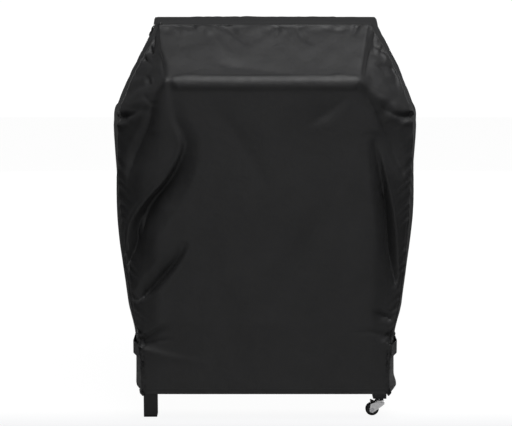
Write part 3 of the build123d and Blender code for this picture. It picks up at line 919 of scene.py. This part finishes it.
# cloth: shades, roughness, thread pitch, weave depth, crumple depth, sheen
CLOTHS = {
    "cover_cloth": (greys(0.0098, 0.0130), (0.48, 0.58), 0.0009, 0.00012, 0.0012, 0.02),
    "strap_webbing": (greys(0.007, 0.010), (0.6, 0.75), 0.0016, 0.0003, 0.0002, 0.03),
    "hook_and_loop": (greys(0.014, 0.022), (0.8, 0.95), 0.0011, 0.0005, 0.0004, 0.2, "Object"),
}
# hard surfaces: shades, roughness, grain, bump depth, metallic, specular, coat
SURFACES = {
    "frame_paint": (greys(0.0105, 0.0140), (0.42, 0.54), 0.0012, 0.00006, 0, 0.35),
    "shelf_paint": (greys(0.016, 0.022), (0.35, 0.48), 0.0012, 0.00005),
    "grill_enamel": (greys(0.01, 0.014), (0.2, 0.32), 0.004, 0.00004, 0, 0.5, 0.4),
    "handle_steel": (greys(0.5, 0.58), (0.25, 0.36), 0.001, 0.00002, 1),
    "foot_plastic": (greys(0.008, 0.011), (0.5, 0.62), 0.0009, 0.00005, 0, 0.35),
    "pedal_plastic": (greys(0.012, 0.016), (0.42, 0.55), 0.0008, 0.00004),
    "caster_tyre": (greys(0.010, 0.016), (0.55, 0.75), 0.001, 0.00005),
    "hub_plastic": (greys(0.02, 0.03), (0.4, 0.5), 0.001, 0.00004),
    "caster_zinc": (greys(0.62, 0.74, 1.01), (0.16, 0.30), 0.0016, 0.00003, 1),
    "caster_steel": (greys(0.5, 0.62), (0.2, 0.34), 0.0012, 0.00003, 1),
    "thread": (greys(0.018, 0.026), (0.5, 0.65), 0.0004, 0.00005),
}


def make_materials():
    """Every material by its slot's name, and the thread's."""
    made = {name: woven(name, *values) for name, values in CLOTHS.items()}
    made.update({name: surface(name, *values) for name, values in SURFACES.items()})
    return made


def dress(thing, material, body):
    """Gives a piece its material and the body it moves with."""
    thing.data.materials.clear()
    thing.data.materials.append(material)
    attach(thing, body)


def declare_cloth(cloth):
    """Reads a sheet's unrolled outline from its cloth coordinates, and does nothing more with it."""
    mesh = cloth.data
    flat = np.zeros(2 * len(mesh.loops), np.float32)
    mesh.uv_layers[0].data.foreach_get("uv", flat)
    flat = flat.reshape(-1, 2)


def dress_cart(materials):
    """Gives every CAD node its procedural material, and eases the edges of the painted ones."""
    for name, node in NODES.items():
        slot_name = node.data.materials[0].name
        node.data.materials[0] = materials[slot_name]
        if slot_name in ("frame_paint", "shelf_paint", "grill_enamel"):
            weld = node.modifiers.new("weld", "WELD")
            weld.merge_threshold = 0.00002
            bevel = node.modifiers.new("eased edges", "BEVEL")
            bevel.width = 0.0009 if "shelf" not in name else 0.0005
            bevel.segments = 2
            bevel.limit_method = "ANGLE"
            bevel.angle_limit = math.radians(40)


def sew_straps(side_name, side, materials):
    """One side's pair of straps, each with its patch and stitches. The front strap's pieces move with it."""
    front, back = side_name + "_front_strap", side_name + "_back_strap"
    seams = (
        (front, front, "back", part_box(front)[1].y - 0.013, side_name + "_hook_patch"),
        (back, "covered_cart", None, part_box(back)[1].y - 0.020, side_name + "_loop_patch"),
    )
    for node_name, body, doubled_end, sewn_y, patch_name in seams:
        webbing = strap(node_name, side, doubled_end)
        dress(webbing, materials["strap_webbing"], body)
        patch = nubs_patch(patch_name, side)
        dress(patch, materials["hook_and_loop"], body)
        box = box_stitch(node_name, side, sewn_y, 0.0095, 0.014)
        thread = stitches(node_name + "_stitching", [box], 0.0036, 0.0027)
        dress(thread, materials["thread"], body)
        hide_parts(node_name)
        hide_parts(patch_name)
        declare_cloth(webbing)
        declare_cloth(patch)


def sew_cover(materials):
    """The cover's five panels with their stitches."""
    ring = shape_walls()
    panels = build_cover(ring)
    thread = cover_stitches(ring)
    dress(thread, materials["thread"], "covered_cart")
    for node_name, cloth in panels.items():
        dress(cloth, materials["cover_cloth"], "covered_cart")
        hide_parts(node_name)
        declare_cloth(cloth)


# ---------------- stage, lights, camera


def mix_by_ray(tree, unseen, seen, output):
    """Shows one shader to the camera, and another to the light that bounces."""
    rays = add_node(tree, "ShaderNodeLightPath")
    mix = add_node(tree, "ShaderNodeMixShader", Fac=rays.outputs["Is Camera Ray"])
    tree.links.new(unseen.outputs[0], mix.inputs[1])
    tree.links.new(seen.outputs[0], mix.inputs[2])
    tree.links.new(mix.outputs[0], output.inputs["Surface"])


def map_range(tree, source, **ends):
    """Maps a value's range onto another one."""
    ends = {key.replace("_", " ").title(): value for key, value in ends.items()}
    return add_node(tree, "ShaderNodeMapRange", Value=source, **ends).outputs["Result"]


def make_stage():
    """A white floor that glows for the camera, with painted grey shade in a band in front of the cart and a
    pale real shadow under the cart. It reflects light upwards only near the middle.
    """
    size = 7.0
    corners = [(-size, -size, 0), (size, -size, 0), (size, size, 0), (-size, size, 0)]
    floor = new_object("floor", corners, [(0, 1, 2, 3)])
    material, tree, shader = blank_material("floor")
    tree.nodes.remove(shader)
    place = add_node(tree, "ShaderNodeTexCoord").outputs["Object"]
    split = add_node(tree, "ShaderNodeSeparateXYZ", Vector=place)
    near = map_range(tree, split.outputs["Y"], from_min=-1.9, from_max=-0.16)
    # painted shade: the glowing floor turns grey in a band in front of the cart, and is white again farther
    # out
    painted_floor_shade = add_node(tree, "ShaderNodeValToRGB", Fac=near)
    for end in painted_floor_shade.color_ramp.elements:
        end.color = (0.97, 0.97, 0.97, 1)
    for position in (0.45, 0.87):
        painted_floor_shade.color_ramp.elements.new(position).color = (0.80, 0.805, 0.82, 1)
    glow = add_node(tree, "ShaderNodeEmission", Color=painted_floor_shade.outputs["Color"])
    matt = add_node(tree, "ShaderNodeBsdfDiffuse", Color=(0.06, 0.06, 0.06, 1))
    seen = add_node(tree, "ShaderNodeAddShader")
    tree.links.new(glow.outputs[0], seen.inputs[0])
    tree.links.new(matt.outputs[0], seen.inputs[1])
    beside = add_node(tree, "ShaderNodeMath", operation="ABSOLUTE", Value=split.outputs["X"])
    white = map_range(tree, beside.outputs[0], from_min=0.5, from_max=1.3, to_min=0.50, to_max=0.06)
    bounce = add_node(tree, "ShaderNodeBsdfDiffuse", Color=white)
    mix_by_ray(tree, bounce, seen, tree.nodes["Material Output"])
    floor.data.materials.append(material)


def make_world():
    """A plain white background, dim as a light."""
    world = bpy.data.worlds.new("studio")
    bpy.context.scene.world = world
    world.use_nodes = True
    tree = world.node_tree
    tree.nodes.clear()
    seen = add_node(tree, "ShaderNodeBackground", Color=(1, 1, 1, 1), Strength=1.05)
    soft = add_node(tree, "ShaderNodeBackground", Color=(0.96, 0.98, 1.0, 1), Strength=0.09)
    mix_by_ray(tree, soft, seen, add_node(tree, "ShaderNodeOutputWorld"))


def area_light(name, direction, distance, size, power, aim=(0, 0, 0.8)):
    """A soft light this far out in one direction from the point it aims at, hidden from the camera."""
    light = bpy.data.lights.new(name, "AREA")
    light.shape = "RECTANGLE"
    light.size, light.size_y = size
    light.energy = power
    thing = add_object(name, light)
    away = Vector(direction).normalized()
    thing.location = Vector(aim) + away * distance
    thing.rotation_euler = (-away).to_track_quat("-Z", "Y").to_euler()
    thing.visible_camera = False


def make_lights():
    """A large light above the front, weak fills, and a low one behind."""
    area_light("key", (0.16, -0.42, 0.89), 3.2, (3.2, 2.4), 160)
    area_light("front_fill", (0.0, -1.0, 0.02), 4.6, (1.6, 1.6), 12, aim=(0, 0, 0.4))
    area_light("back_fill", (0, 1, -0.05), 4.4, (2.2, 0.7), 120, aim=(0, 0, 0.75))
    for side_name, side in SIDES:
        area_light(side_name + "_fill", (side, 0.5, 0.08), 4.2, (1.6, 1.2), 9, aim=(0, 0, 0.6))


def make_camera():
    """Looks at the front from a little above, with a long lens."""
    camera = bpy.data.cameras.new("camera")
    camera.lens = 109.07
    camera.sensor_width = 36.0
    camera.clip_end = 100
    thing = add_object("camera", camera)
    thing.location = (-0.0255, -4.452, 1.3510)
    thing.rotation_euler = (math.radians(90 - 10.274), 0, 0)
    bpy.context.scene.camera = thing


# ---------------- everything together

bpy.context.scene.view_settings.view_transform = "Standard"
make_camera()
make_world()
make_lights()
make_stage()
materials = make_materials()
dress_cart(materials)
sew_cover(materials)
for side_name, side in SIDES:
    sew_straps(side_name, side, materials)
